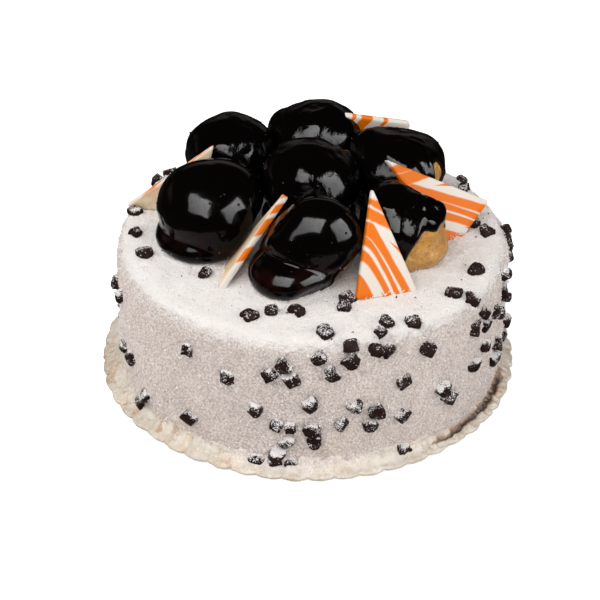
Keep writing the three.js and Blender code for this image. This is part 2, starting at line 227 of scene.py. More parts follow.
def paintSoftbox(lamp, box):
    # a cloth front that is brighter towards one corner, uneven and dim at its edges
    recipe = Recipe(lamp)
    across = recipe.axis(recipe.node("NewGeometry", output="Parametric"), "X")
    over = across.other("Y")
    soft = box["soft"]
    edge = across.step(0, soft) * across.step(1, 1 - soft) * over.step(0, soft) * over.step(1, 1 - soft)
    where = recipe.node("CombineXYZ", None, {0: across, 1: over * boxCloth["squeeze"]}, "Vector")
    grain = {"Vector": where, "Scale": boxCloth["scale"], "Detail": 3.0}
    brushed = recipe.node("TexNoise", None, grain, "Fac")
    slope = boxCloth["dim"] + boxCloth["across"] * across + boxCloth["over"] * over
    strength = edge * slope * (boxCloth["least"] + brushed * boxCloth["brushed"])
    lamp.color = box.get("tint", (1, 1, 1))
    recipe.put(recipe.nodes["Emission"].inputs["Strength"], strength)


def makeSoftbox(name, box):
    lamp = bpy.data.lights.new(name, "AREA")
    lamp.shape = "RECTANGLE"
    lamp.size, lamp.size_y = box["wide"] * mm, box["high"] * mm
    lamp.energy = box["radiance"] * math.pi * lamp.size * lamp.size_y
    holder = bpy.data.objects.new(name, lamp)
    holder.location = aroundFocus(box["turn"], box["up"], box["away"])
    back = holder.location - Vector(camera["focus"]) * mm
    holder.rotation_euler = back.to_track_quat("Z", "Y").to_euler()
    holder.visible_diffuse = box.get("fills", True)
    holder.visible_glossy = box.get("shows", True)
    if "soft" in box:
        paintSoftbox(lamp, box)
    bpy.context.collection.objects.link(holder)


def makeWorld():
    # white for the camera and nearly dark for the glaze
    world = bpy.data.worlds.new("studio")
    recipe = Recipe(world)
    white = recipe.nodes["Background"]
    recipe.put(white.inputs["Color"], (1, 1, 1))
    dim = recipe.node("Background", None, {"Strength": studio["dark"]})
    seen = recipe.node("LightPath", output="Is Camera Ray")
    mixed = recipe.node("MixShader", None, {0: seen, 1: dim, 2: Signal(recipe, white.outputs[0])})
    recipe.put(recipe.nodes["World Output"].inputs["Surface"], mixed)
    bpy.context.scene.world = world


def floorMaterial():
    # pale, but dull in the glaze
    recipe = Recipe(bpy.data.materials.new("paleFloor"))
    mirrored = recipe.node("LightPath", output="Is Glossy Ray")
    seen = mirrored.other("Is Camera Ray")
    ground = recipe.mix(*studio["floorColours"], recipe.noise(60, 3))
    return recipe.finish({
        "Base Color": recipe.mix(ground, studio["floorDull"], mirrored), "Roughness": 0.9,
        "Specular IOR Level": 0.0, "Emission Color": (1.0, 1.0, 1.0),
        "Emission Strength": (1 - mirrored) * studio["floorGlow"] + seen * studio["floorShown"],
    })


def makeFloor():
    half = studio["floorSide"] / 2 * mm
    mesh = bpy.data.meshes.new("floor")
    corners = [(-half, -half, 0), (half, -half, 0), (half, half, 0), (-half, half, 0)]
    mesh.from_pydata(corners, [], [(0, 1, 2, 3)])
    mesh.materials.append(floorMaterial())
    floor = bpy.data.objects.new("floor", mesh)
    bpy.context.collection.objects.link(floor)


def makeStudio():
    bpy.context.scene.view_settings.view_transform = "Standard"
    for name, box in boxes.items():
        makeSoftbox(name, box)
    makeWorld()
    makeFloor()


# Making meshes

# large odd numbers that scramble a place on a grid into a random value
scramble = {
    "x": 73856093, "y": 19349663, "z": 83492791, "seed": 2654435761,
    "first": 2246822519, "second": 3266489917,
}


def smoothNoise(points, size, seed=0):
    # random values from -1 to 1 that swing once in every size millimetres
    scaled = points / size
    cell = np.floor(scaled).astype(np.int64)
    part = scaled - cell
    part = part ** 3 * (part * (part * 6 - 15) + 10)
    total = np.zeros(points.shape[:-1])
    for corner in np.ndindex(2, 2, 2):
        x, y, z = np.moveaxis(cell + np.array(corner), -1, 0)
        mixed = x * scramble["x"] ^ y * scramble["y"] ^ z * scramble["z"] ^ (seed + 7) * scramble["seed"]
        mixed = (mixed ^ (mixed >> 15)) * scramble["first"] & 0xFFFFFFFF
        mixed = (mixed ^ (mixed >> 13)) * scramble["second"] & 0xFFFFFFFF
        share = np.prod(np.where(np.array(corner) == 1, part, 1 - part), axis=-1)
        total += share * ((mixed >> 16) / 32767.5 - 1)
    return total


def relief(points, waves, seed=0):
    # waves say how deep, how wide, and a seed of their own
    return sum(deep * smoothNoise(points, wide, seed + own) for deep, wide, own in waves)


def addPiece(name, points, faces, material, smooth=True):
    mesh = bpy.data.meshes.new(name)
    mesh.from_pydata((np.asarray(points) * mm).tolist(), [], faces)
    mesh.polygons.foreach_set("use_smooth", [smooth] * len(mesh.polygons))
    mesh.materials.append(material)
    piece = bpy.data.objects.new(name, mesh)
    bpy.context.collection.objects.link(piece)
    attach(piece, "root")
    return piece


def paint(piece, name, values):
    values = np.asarray(values, float)
    kind, field = ("FLOAT", "value") if values.ndim == 1 else ("FLOAT_VECTOR", "vector")
    layer = piece.data.attributes.new(name, kind, "POINT")
    layer.data.foreach_set(field, values.ravel())


def skin(rows, first, last):
    # points of a closed skin from rows of points and its two poles
    return np.vstack([np.reshape(first, (1, 3)), rows.reshape(-1, 3), np.reshape(last, (1, 3))])


def skinFaces(rows, columns):
    # faces of a closed skin, whose points are its first pole, the rows and its last pole
    column = np.arange(columns)
    after = (column + 1) % columns
    faces = [(0, 1 + b, 1 + a) for a, b in zip(column.tolist(), after.tolist())]
    for row in range(rows - 1):
        low, high = 1 + row * columns, 1 + (row + 1) * columns
        faces += np.stack([low + column, low + after, high + after, high + column], axis=1).tolist()
    top, last = 1 + (rows - 1) * columns, 1 + rows * columns
    return faces + [(top + a, top + b, last) for a, b in zip(column.tolist(), after.tolist())]


def chance(i):
    wave = math.sin(i * 12.9898 + 4.1414) * 43758.5453
    return wave - math.floor(wave)


def smoothMax(a, b, width):
    return 0.5 * (a + b + np.hypot(a - b, width))


def smoothMin(a, b, width):
    return 0.5 * (a + b - np.hypot(a - b, width))


def bell(values):
    return np.exp(-values * values)


def wrapped(angle):
    return np.arctan2(np.sin(angle), np.cos(angle))


def onCircle(flat, angle, up):
    # points so far out and so far up, in the directions given
    return np.stack(np.broadcast_arrays(flat * np.cos(angle), flat * np.sin(angle), up), axis=-1)


def compass(degrees):
    # degrees round from -Y towards +X, as an angle from +X
    return np.radians(np.asarray(degrees, float) - 90)


def bearing(angle):
    # and back, from -180 to 180 degrees
    return (np.degrees(angle) + 90 + 180) % 360 - 180


# Puffs with their glaze and crust

puffShape = {
    "gap": 0.3, "cakeTop": 77, "middle": 14, "footCentre": 6.5, "domeShare": 0.415, "pressed": 1.4,
    "lump": 0.8, "flatEdge": 2.5, "lobeCrease": 0.7, "leastAhead": 0.05,
    "unevenOn": 25, "unevenWaves": [(1, 9, 50), (0.2, 3.6, 60)],    # how deep, how wide, and a seed
    "lowestRow": -84, "highestRow": 88, "footprint": 1.4,
}

# the lip is the thick edge above the bare crust, and the pool is where glaze gathers low down
glazeCoat = {
    "thickness": 1.5, "lip": 0.9, "lipWidth": 0.22, "lipAt": 0.8, "lipSpread": 0.7, "below": 1.3,
    "edgeSteepness": 8, "lowestEdge": -1.1, "pool": 1.2, "poolLevel": -0.3, "poolSpread": 0.2,
    "drips": 5, "drip": 0.06, "fineDrips": 11, "fineDrip": 0.03,
    "thinAt": 0.2, "thinSpread": 0.55, "thinFrom": -0.5, "thinShown": 0.8,
    "black": (0.0012, 0.0009, 0.0008), "treacle": (0.009, 0.0022, 0.0013), "syrup": (0.06, 0.012, 0.004),
    "upper": (-0.2, 0.8), "lower": (-0.5, -0.15),                   # where bubbles and crumbs stick
}

crustShape = {
    "fine": (170, 96), "hiddenFine": (48, 30), "waves": [(0.22, 2.6, 0), (0.12, 1.3, 9)],
    "wettest": 1.25,                                                # at its foot, where 1 is soaked
    "wetUp": 9, "contactShadeUp": 1.1,                                       # how far up syrup and the painted contact shade at the crust's foot fade out
    "golden": ((0.65, 0.33, 0.056), (0.46, 0.18, 0.024)), "pore": (0.27, 0.105, 0.03),
    # foot is the colour of painted contact shade where the crust meets the cake
    "streak": (0.36, 0.15, 0.04), "syrup": (0.50, 0.27, 0.09), "foot": (0.12, 0.045, 0.016),
}

# Directions round a puff are degrees anticlockwise from +X. Knobs push the surface out or in:
# degrees round, degrees up, degrees across, millimetres. Folds are long ones: degrees round,
# degrees up, degrees long, degrees wide, degrees turned from level, millimetres.
puffs = {
    "front_left": {
        "x": -51, "y": -9, "dome": 26.2, "top": 41.4, "share": 0.51, "foot": (-1.5, -2.5, 23.8, 10.5),
        "crease": 1.6,
        "lobes": [(4.5, -4.5, 14, 22, 15)], "flats": [(-8.4, -36.5, 15.5)],
        "knobs": [(122, 34, 34, -1.4), (95, 8, 30, -2.2), (215, 60, 40, 0.6)],
        "folds": [(208, 20, 22, 7, 15, 0.9)],
        "uneven": 0.3, "ripple": 0.03, "fine": (230, 130),
    },
    "front": {
        "x": 0.5, "y": -46.5, "dome": 24, "deep": 17.5, "top": 40.4, "share": 0.507, "domeAt": (-0.5, 7.3),
        "foot": (-11.4, 0.5, 20.5, 11), "crease": 1.6,
        "lobes": [(-12, 9, 13, 14.5, 13)], "flats": [(-54, -30, 14.2), (171.5, 36.5, 23.2)],
        "knobs": [(200, 2, 30, 0.6)],
        "folds": [(-38, 6, 20, 8, 35, 1.8)],
        "uneven": 0.3, "ripple": 0.03, "fine": (230, 130), "bare": (8, 42, 2),
    },
    "centre": {
        "x": -2, "y": 5, "dome": 25.0, "top": 45.7, "foot": (0, 0, 22.0, 13), "crease": 3,
        "knobs": [(250, 35, 28, 0.9), (330, 45, 30, -0.8)],
        "folds": [(262, 40, 22, 7, 0, -1.2), (224, 34, 16, 9, 85, 1.6), (250, 62, 20, 8, 80, 0.8)],
        "uneven": 1.3, "ripple": 0.2, "fine": (200, 110),
    },
    "back_left": {
        "x": -44, "y": 38, "dome": 22.8, "top": 41.6, "foot": (-1.5, 1.5, 20.8, 13), "crease": 3,
        "knobs": [(165, 42, 30, -0.9), (280, 50, 34, 0.9)],
        "folds": [(300, 35, 30, 8, 60, 0.8), (330, 40, 30, 8, 60, 0.8), (265, 55, 34, 6, 20, 0.9)],
        "uneven": 1.1, "ripple": 0.22, "fine": (180, 100),
    },
    "back": {
        "x": -0.5, "y": 51, "dome": 23.6, "top": 42.6, "foot": (0, 2, 21.2, 13), "crease": 3,
        "knobs": [(25, 50, 36, 1.0), (190, 40, 34, 0.6)],
        "folds": [(236, 40, 22, 10, 85, 1.6), (262, 40, 30, 9, 80, 0.8), (320, 30, 26, 7, 110, 0.8)],
        "uneven": 1.0, "ripple": 0.18, "fine": (180, 100),
    },
    "back_right": {
        "x": 42, "y": 27, "dome": 23.6, "top": 39.8, "foot": (1.5, 1, 21.2, 13), "crease": 3,
        "knobs": [(200, 40, 30, -0.9), (20, 35, 34, 0.8), (232, 28, 24, 2.4), (150, 42, 28, 3.5)],
        "folds": [(290, 46, 40, 8, 120, 1.3), (318, 30, 32, 7, 100, 1.3), (262, 52, 34, 7, -35, 1.7)],
        "uneven": 0.9, "ripple": 0.15, "fine": (200, 110), "bare": (-26, 24, 40),
    },
    "right": {
        "x": 43.5, "y": -19, "dome": 20.2, "top": 36.2, "foot": (2.2, 0.5, 21.0, 15), "crease": 4,
        "knobs": [
            (6, 25, 20, 2.2), (42, 44, 27, -6.5), (120, 62, 26, 1.4), (60, 8, 30, -1.6), (200, 20, 34, -1.0),
        ],
        "folds": [(-40, 34, 30, 8, 84, 0.7)], "flats": [(-66, 42, 21.5)],
        "uneven": 1.1, "ripple": 0.15, "fine": (230, 130), "bare": (-30, 62, 24),
    },
}


def glazeMaterial(ripple):
    recipe = Recipe(bpy.data.materials.new("darkGlaze"))
    thin = recipe.painted("thin")
    drawnOut = recipe.drawnOut(0.45)
    flow = recipe.noise(2.6, 2, drawnOut) + recipe.noise(0.9, 2, drawnOut) * 0.3
    treacly = recipe.height().step(0.104, 0.082) * recipe.noise(11, 3, rough=0.6).step(0.42, 0.62)
    deep = recipe.mix(glazeCoat["black"], glazeCoat["treacle"], treacly)
    return recipe.finish({
        "Base Color": recipe.mix(deep, glazeCoat["syrup"], thin), "Roughness": 0.10, "IOR": 1.22,
        "Normal": recipe.bump(flow, ripple),
    })


def crustMaterial():
    recipe = Recipe(bpy.data.materials.new("bakedCrust"))
    wet = recipe.painted("wet")
    toast = recipe.noise(6, 4, rough=0.65)
    pores = recipe.noise(0.75, 3, rough=0.6)
    ridges = recipe.noise(1.7, 3, recipe.drawnOut(0.35))
    golden = recipe.mix(*crustShape["golden"], toast.step(0.35, 0.7))
    freckled = recipe.mix(golden, crustShape["pore"], pores.step(0.56, 0.68) * 0.8)
    streaked = recipe.mix(freckled, crustShape["streak"], ridges.step(0.52, 0.70) * 0.6)
    syrupy = recipe.mix(streaked, crustShape["syrup"], wet * 0.5)
    return recipe.finish({
        # the rim mask is painted contact shade, darkest where the crust meets the cake
        "Base Color": recipe.mix(syrupy, crustShape["foot"], recipe.painted("rim")),
        "Roughness": 0.55 - wet * 0.33, "Specular IOR Level": 0.25,
        "Coat Weight": wet * 0.6, "Coat Roughness": 0.12,
        "Normal": recipe.bump(ridges + pores * 0.8 + recipe.cells(2.4) * 0.5, 0.8),
    })


def pointing(turnDegrees, upDegrees):
    rise = np.radians(upDegrees)
    return onCircle(np.cos(rise), np.radians(turnDegrees), np.sin(rise))


def puffWays(columns, rows):
    # every direction in which a point of a puff's skin lies, seen from its middle
    rises = np.linspace(puffShape["lowestRow"], puffShape["highestRow"], rows)
    turns, rises = np.meshgrid(np.arange(columns) * 360 / columns, rises)
    return skin(pointing(turns, rises), pointing(0, -90), pointing(0, 90))


def rayOut(ways, centre, radii):
    # how far a ray from a puff's middle runs before it leaves an ellipsoid
    scaled = ways / radii
    start = -np.array(centre) / radii
    a = (scaled * scaled).sum(axis=-1)
    b = scaled @ start
    c = start @ start - 1
    return (np.sqrt(np.maximum(0, b * b - a * c)) - b) / a


def swelling(puff, ways):
    # what the knobs and folds add
    total = np.zeros(ways.shape[:-1])
    for turn, rise, across, out in puff["knobs"]:
        apart = np.degrees(np.arccos(np.clip(ways @ pointing(turn, rise), -1, 1)))
        total += out * bell(apart / across)
    for turn, rise, length, width, tilt, out in puff["folds"]:
        middle = pointing(turn, rise)
        level = pointing(turn + 90, 0)
        upward = np.cross(middle, level)
        tilted = math.radians(tilt)
        run = ways @ (level * math.cos(tilted) + upward * math.sin(tilted))
        side = ways @ (upward * math.cos(tilted) - level * math.sin(tilted))
        ahead = ways @ middle > 0
        total += out * ahead * bell(np.degrees(run) / length) * bell(np.degrees(side) / width)
    return total


def lumps(ways, seed):
    x, y, z = ways[..., 0], ways[..., 1], ways[..., 2]
    crossed = np.sin(3.1 * x + seed) * np.sin(2.7 * y + 1.3 * seed)
    return crossed + 0.6 * np.sin(4.3 * z + 2.9 * x + 2.1 * seed)


def puffReach(puff, seed, ways):
    # a dome over a foot lobe, then other lobes, flats, knobs, folds and lumps
    shape = puffShape
    footX, footY, footRadius, footHeight = puff["foot"]
    domeHigh = puff["top"] * puff.get("share", shape["domeShare"])
    domeCentre = (*puff.get("domeAt", (0, 0)), puff["top"] - domeHigh - shape["middle"])
    dome = rayOut(ways, domeCentre, (puff["dome"], puff.get("deep", puff["dome"]), domeHigh))
    footCentre = (footX, footY, shape["footCentre"] - shape["middle"])
    under = rayOut(ways, footCentre, (footRadius, footRadius, footHeight))
    reach = smoothMax(dome, under, puff["crease"])
    for lobeX, lobeY, lobeUp, radius, height in puff.get("lobes", []):
        lobe = rayOut(ways, (lobeX, lobeY, lobeUp - shape["middle"]), (radius, radius, height))
        reach = smoothMax(reach, lobe, puff["crease"] * shape["lobeCrease"])
    for turn, rise, distance in puff.get("flats", []):
        ahead = ways @ pointing(turn, rise)
        cut = smoothMin(reach, distance / np.maximum(ahead, shape["leastAhead"]), shape["flatEdge"])
        reach = np.where(ahead > shape["leastAhead"], cut, reach)
    uneven = puff["uneven"] * relief(ways * shape["unevenOn"], shape["unevenWaves"], seed)
    return reach + shape["lump"] * lumps(ways, seed) + swelling(puff, ways) + uneven


def pressed(puff, reach, ways, inset, floor):
    # flat against the neighbours and the cake
    held = reach
    for other in puffs.values():
        if other is puff:
            continue
        away = np.array([other["x"] - puff["x"], other["y"] - puff["y"], 0.0])
        distance = np.linalg.norm(away)
        limit = (distance ** 2 + puff["dome"] ** 2 - other["dome"] ** 2) / (2 * distance) - inset
        towards = ways @ away / distance
        ahead = np.maximum(towards, puffShape["leastAhead"])
        cut = smoothMin(held, limit / ahead, puffShape["pressed"])
        held = np.where(towards > puffShape["leastAhead"], cut, held)
    down = np.maximum(-ways[..., 2], 1e-6)
    return np.where(ways[..., 2] < 0, np.minimum(held, (puffShape["middle"] - floor) / down), held)


def glazeDepth(puff, ways):
    # below zero where the puff is bare
    shape = glazeCoat
    if "bare" not in puff:
        above = ways[..., 2] - shape["poolLevel"]
        return shape["thickness"] + shape["pool"] * bell(above / shape["poolSpread"])
    at, span, top = puff["bare"]
    turn = np.arctan2(ways[..., 1], ways[..., 0])
    share = wrapped(turn - math.radians(at)) / math.radians(span)
    drip = shape["drip"] * np.sin(shape["drips"] * turn + 1)
    drip = drip + shape["fineDrip"] * np.sin(shape["fineDrips"] * turn)
    rise = math.sin(math.radians(top)) - shape["lowestEdge"]
    edge = shape["lowestEdge"] + rise * np.exp(-share ** 4) + drip
    above = (ways[..., 2] - edge) / shape["lipWidth"]
    lip = shape["lip"] * bell((above - shape["lipAt"]) / shape["lipSpread"])
    covered = shape["thickness"] * np.sqrt(np.clip(above, 0, 1)) + lip
    return np.where(above > 0, covered, np.maximum(-shape["below"], above * shape["edgeSteepness"]))


def middleOf(puff):
    return np.array([puff["x"], puff["y"], puffShape["cakeTop"] + puffShape["middle"]])


def makeGlaze(place, puff, seed):
    # the glaze of one puff; spots are random points where it is thick
    columns, rows = puff["fine"]
    ways = puffWays(columns, rows)
    depth = glazeDepth(puff, ways)
    outer = pressed(puff, puffReach(puff, seed, ways) + depth, ways, puffShape["gap"] / 2, puffShape["gap"])
    points = middleOf(puff) + ways * outer[:, None]
    glaze = addPiece("glazeOn_" + place, points, skinFaces(rows, columns), glazeMaterial(puff["ripple"]))
    thin = bell((depth - glazeCoat["thinAt"]) / glazeCoat["thinSpread"]) * (depth > glazeCoat["thinFrom"])
    paint(glaze, "thin", thin * glazeCoat["thinShown"])
    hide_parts("glaze_" + place)

    def spots(zone, count):
        lowest, highest = glazeCoat[zone]
        return rng.choice(points[(ways[:, 2] > lowest) & (ways[:, 2] < highest) & (depth > 1)], count)

    bubbled = spots("upper", bubbles["count"])
    stuck = [spots("lower", grains["glaze"]["low"]), spots("upper", grains["glaze"]["high"])]
    grid = points[1:-1].reshape(rows, columns, 3)
    flat = np.hypot(grid[..., 0] - puff["x"], grid[..., 1] - puff["y"])
    low = grid[..., 2] < puffShape["cakeTop"] + puffShape["footprint"]
    return bubbled, np.concatenate(stuck), np.where(low, flat, 0).max(axis=0)


def makeCrust(place, puff, seed, material):
    columns, rows = crustShape["fine"] if "bare" in puff else crustShape["hiddenFine"]
    ways = puffWays(columns, rows)
    reach = puffReach(puff, seed, ways)
    reach += relief(middleOf(puff) + ways * reach[:, None], crustShape["waves"], seed)
    inner = pressed(puff, reach, ways, glazeCoat["thickness"] + puffShape["gap"], puffShape["gap"])
    points = middleOf(puff) + ways * inner[:, None]
    baked = addPiece("crustOf_" + place, points, skinFaces(rows, columns), material)
    above = points[:, 2] - puffShape["cakeTop"]
    paint(baked, "wet", np.clip(crustShape["wettest"] - above / crustShape["wetUp"], 0, 1))
    # painted contact shade along the crust's foot, fading out a little way up
    paint(baked, "rim", np.clip(1.0 - above / crustShape["contactShadeUp"], 0, 1))
    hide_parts("puff_" + place)


def makePuffs():
    footprints, bubbled, crumbed = {}, [], []
    crust = crustMaterial()
    for seed, (place, puff) in enumerate(puffs.items()):
        bubbleSpots, crumbSpots, footprints[place] = makeGlaze(place, puff, seed)
        bubbled.append(bubbleSpots)
        crumbed.append(crumbSpots)
        makeCrust(place, puff, seed, crust)
    return footprints, np.concatenate(bubbled), np.concatenate(crumbed)


# The coat of crumbs

coat = {
    "radius": 100, "top": 77, "base": 3.9, "shoulder": 9, "columns": 720,
    "slow": [(2, 0.6, 0.6), (3, 0.4, 2.1), (7, 0.25, 1.0)],        # how many round, how deep, where it starts
    "firstRow": 0.6, "wallStep": 0.9, "shoulderRows": 15, "topStep": 1.2, "fineTop": 47,
    "hiddenTop": (52, 60, 70, 80), "tuckedIn": 0.985,
    "waves": [(0.45, 11, 0), (0.35, 4.5, 1), (0.5, 2.4, 2), (0.45, 1.6, 3)],    # deep, wide, a seed
    "levelShare": 0.5, "calming": 1.3,                             # how much of them on the top, how soon
    "collar": 1.1, "collarWide": 1.7, "collarShare": 0.8, "collarWave": (0.35, 2.2, 31),   # against a puff
    # wall and level crumbs: the wall's tone is pinker, and the top's extra lightness over the wall is painted
    # light falling on the top
    "wall": ((0.79, 0.68, 0.625), (0.93, 0.83, 0.78)), "level": ((0.80, 0.75, 0.72), (0.88, 0.84, 0.81)),
    # hollow is the colour of painted shade between the crumbs of the wall
    "hollow": (0.50, 0.40, 0.35), "butter": (0.84, 0.70, 0.53), "tan": (0.72, 0.49, 0.32),
    "speck": (0.25, 0.15, 0.11),
}
wallTop = coat["top"] - coat["shoulder"]
arcEnd = wallTop + coat["shoulder"] * math.pi / 2                  # where the level top begins


def crumbMaterial():
    recipe = Recipe(bpy.data.materials.new("crumbDust"))
    sandy = recipe.noise(1.1, 4, rough=0.65)
    mottle = (recipe.noise(9, 3) * 0.5 + sandy * 0.6).step(0.3, 0.8)
    low = recipe.height()
    level = recipe.facing().step(0.45, 0.95)
    wall = recipe.mix(*coat["wall"], mottle)
    # the level top blends to its own greyer crumbs; its extra lightness over the wall is painted light
    white = recipe.mix(wall, recipe.mix(*coat["level"], mottle), recipe.facing().step(0.15, 0.85))
    # painted shade in the hollows between the crumbs of the wall; the level top gets none
    hollows = recipe.cells(1.15).step(0.38, 0.7) * (1 - level)
    shaded = recipe.mix(white, coat["hollow"], hollows * 0.55)
    buttery = recipe.noise(26, 3, rough=0.6).step(0.56, 0.72) * low.step(0.05, 0.0)
    cream = recipe.mix(shaded, coat["butter"], buttery * 0.6)
    tan = recipe.noise(13, 4, rough=0.7).step(0.66, 0.78) * low.step(0.035, 0.004)
    warm = recipe.mix(cream, coat["tan"], tan * 0.55)
    speck = recipe.noise(1.6, 2).step(0.745, 0.79) * recipe.noise(12, 2).step(0.45, 0.65)
    height = (sandy + (1 - recipe.cells(1.0)) * 0.9 + recipe.noise(0.5, 2) * 0.35) * (1 - level * 0.6)
    return recipe.finish({
        "Base Color": recipe.mix(warm, coat["speck"], speck * 0.8), "Roughness": 0.93,
        "Specular IOR Level": 0.25, "Normal": recipe.bump(height, 1.3),
    })


def wallRadius(angle):
    return coat["radius"] + sum(deep * np.sin(count * angle + start) for count, deep, start in coat["slow"])


def onCoat(angle, along):
    # a point and the way out, so many millimetres up the wall and on over the edge and the top
    bend = np.clip((along - wallTop) / coat["shoulder"], 0, math.pi / 2)
    inwards = np.maximum(0, along - arcEnd)
    out = onCircle(np.cos(bend), angle, np.sin(bend))
    core = onCircle(wallRadius(angle) - coat["shoulder"] - inwards, angle, np.minimum(along, wallTop))
    return core + out * coat["shoulder"], out


def collar(points, footprints):
    # how much the crumbs are heaped where the top meets a puff
    heap = np.zeros(points.shape[:-1])
    for place, ring in footprints.items():
        across, over = points[..., 0] - puffs[place]["x"], points[..., 1] - puffs[place]["y"]
        step = np.degrees(np.arctan2(over, across)) % 360 / 360 * len(ring)
        past = np.hypot(across, over) - ring[step.astype(int) % len(ring)]
        heap = np.maximum(heap, bell(np.maximum(past, 0) / coat["collarWide"]))
    return heap


def coatSurface(angle, along, footprints):
    points, out = onCoat(angle, along)
    calm = 1 - (1 - coat["levelShare"]) * np.clip(out[..., 2] * coat["calming"], 0, 1)
    points = points + out * (relief(points, coat["waves"]) * calm)[..., None]
    top = np.clip(out[..., 2] * 4 - 3, 0, 1)                       # 1 on the level top, 0 down the edge
    ragged = coat["collarShare"] + relief(points, [coat["collarWave"]])
    points[..., 2] += coat["collar"] * collar(points, footprints) * ragged * top
    return points, out


def makeCoat(footprints):
    alongs = np.concatenate([
        np.arange(coat["base"] + coat["firstRow"], wallTop, coat["wallStep"]),
        np.linspace(wallTop, arcEnd, coat["shoulderRows"]),
        arcEnd + np.arange(coat["topStep"], coat["fineTop"], coat["topStep"]),
        arcEnd + np.array(coat["hiddenTop"]),
    ])
    angle, along = np.meshgrid(np.arange(coat["columns"]) * 2 * math.pi / coat["columns"], alongs)
    points, _ = coatSurface(angle, along, footprints)
    under = points[:1] * coat["tuckedIn"]
    under[..., 2] = coat["base"]
    rows = np.concatenate([under, points])
    points = skin(rows, (0, 0, coat["base"]), (0, 0, coat["top"]))
    piece = addPiece("crumbCoat", points, skinFaces(len(rows), coat["columns"]), crumbMaterial())
    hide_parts("cake_body")


# Chocolate chips

chips = {
    "small": 5.6, "large": 8.0, "flat": 0.85, "proud": 0.06, "lowest": 5.5, "tumble": 0.7,
    "apart": 0.62, "wider": 0.22, "squat": 0.7,                    # how a group of chips lies together
    "steps": 7, "square": (0.42, 0.25), "slant": 0.35, "topmost": 0.7, "upwards": 0.8,
    "dents": [(1.15, 2.6, 9.7), (0.4, 1.1, 5.1)],                  # deep, wide, and a chip's own place
    "dark": ((0.008, 0.003, 0.002), (0.030, 0.011, 0.008)), "powder": (0.80, 0.765, 0.75),
}

# Chips round the back: how many, from where and over how many degrees, how high from and over,
# where the rule starts, and how far each strays, in degrees and in millimetres.
chipFields = [
    {"count": 42, "from": 84, "over": 190, "low": 9, "high": 59, "start": (0, 0.3), "astray": 14},
    {"count": 8, "from": 132, "over": 118, "low": 76, "high": 9, "start": (0.4, 0), "astray": 7},
]
goldenTurn, goldenUp = 0.618034, 0.754878

# degrees round from -Y towards +X, millimetres up the wall and on over the edge, how many together
chipGroups = [
    (-76, 54, 2), (-67, 27, 2), (-56, 9, 2), (-36, 60, 1), (-36, 19, 1), (-23, 52, 1), (-12, 33, 2),
    (-8, 60, 3), (-9, 5, 4), (-2, 24, 4), (0, 43, 1), (2, 70, 1), (8, 63, 2), (14, 73, 2), (15, 33, 4),
    (21, 74, 2), (27, 29, 1), (27, 49, 1), (28, 5, 1), (34, 65, 1), (42, 32, 2), (56, 62, 3), (57, 40, 2),
    (73, 56, 4), (70, 28, 2),
    (-128, 74, 1), (-99, 79, 1), (-86, 83, 1), (-73, 86, 1), (-51, 106, 1), (-21, 90, 1), (-15, 98, 1),
    (-6, 100, 1), (4, 83, 1), (14, 105, 2), (27, 82, 2), (53, 81, 2), (67, 85, 1), (74, 71, 1),
    (94, 88, 2), (97, 72, 1), (122, 78, 2),
]


def chipMaterial():
    # dark, with white powder on what looks up; the chips on the top have less of it
    recipe = Recipe(bpy.data.materials.new("darkChip"))
    speckle = recipe.noise(0.8, 4, rough=0.8) * 1.5 + recipe.noise(7, 2) * 1.1
    onTop = recipe.height().step(0.060, 0.072)
    powder = (speckle + recipe.facing().most(0) * 0.36 - onTop * 0.17).step(1.51, 1.59)
    brown = recipe.mix(*chips["dark"], recipe.noise(1.4, 3))
    return recipe.finish({
        "Base Color": recipe.mix(brown, chips["powder"], powder), "Roughness": 0.5 + powder * 0.4,
        "Specular IOR Level": 0.06, "Normal": recipe.bump(recipe.noise(0.8, 4, rough=0.65), 0.5),
    })


def chipPlaces():
    places = []
    for degrees, along, count in chipGroups:
        group = len(places)
        for k in range(count):
            across = up = 0
            if count > 1:
                turn = (chance(group) + k / count) * 2 * math.pi
                reach = chips["large"] * (chips["apart"] + chips["wider"] * count * chance(group * 3 + k))
                across, up = reach * math.cos(turn), reach * math.sin(turn) * chips["squat"]
            places.append((degrees + math.degrees(across / coat["radius"]), along + up))
    for field in chipFields:
        turnStart, upStart = field["start"]
        for k in range(field["count"]):
            aside, up = (field["astray"] * (chance(field["count"] * way + k) - 0.5) for way in (1, 2))
            degrees = field["from"] + field["over"] * ((k * goldenTurn + turnStart) % 1) + aside
            along = field["low"] + field["high"] * ((k * goldenUp + upStart) % 1) + up
            places.append((degrees, along))
    return places


def cubeGrid(steps):
    # a ball made of six square grids with shared edges, as points and faces
    side = np.linspace(-1, 1, steps + 1)
    index, points, faces = {}, [], []

    def corner(point):
        key = tuple(np.round(point, 5))
        if key not in index:
            index[key] = len(points)
            points.append(point)
        return index[key]

    for axis in range(3):
        for sign in (-1, 1):
            for i, j in np.ndindex(steps, steps):
                square = []
                for a, b in ((i, j), (i + 1, j), (i + 1, j + 1), (i, j + 1)):
                    point = np.zeros(3)
                    point[axis] = sign
                    point[(axis + 1) % 3] = side[a]
                    point[(axis + 2) % 3] = side[b]
                    square.append(corner(point))
                faces.append(square if sign > 0 else square[::-1])
    points = np.array(points)
    return points / np.linalg.norm(points, axis=1)[:, None], np.array(faces)


def chipShape(ways, number):
    # a block with dented sides, before it is turned into place
    size = np.array([chance(number * 7 + k) for k in (1, 2, 3)])
    size = chips["small"] + (chips["large"] - chips["small"]) * size
    size[2] *= chips["flat"]
    least, more = chips["square"]
    blocky = np.sign(ways) * np.abs(ways) ** (least + more * chance(number * 11))
    slant = chips["slant"] * (chance(number * 13) - 0.5)
    dents = sum(deep * smoothNoise(ways * 3 + number * on, wide, number) for deep, wide, on in chips["dents"])
    return blocky * size / 2 * (1 + slant * ways[:, [2, 0, 1]]) + ways * dents[:, None], size[2]


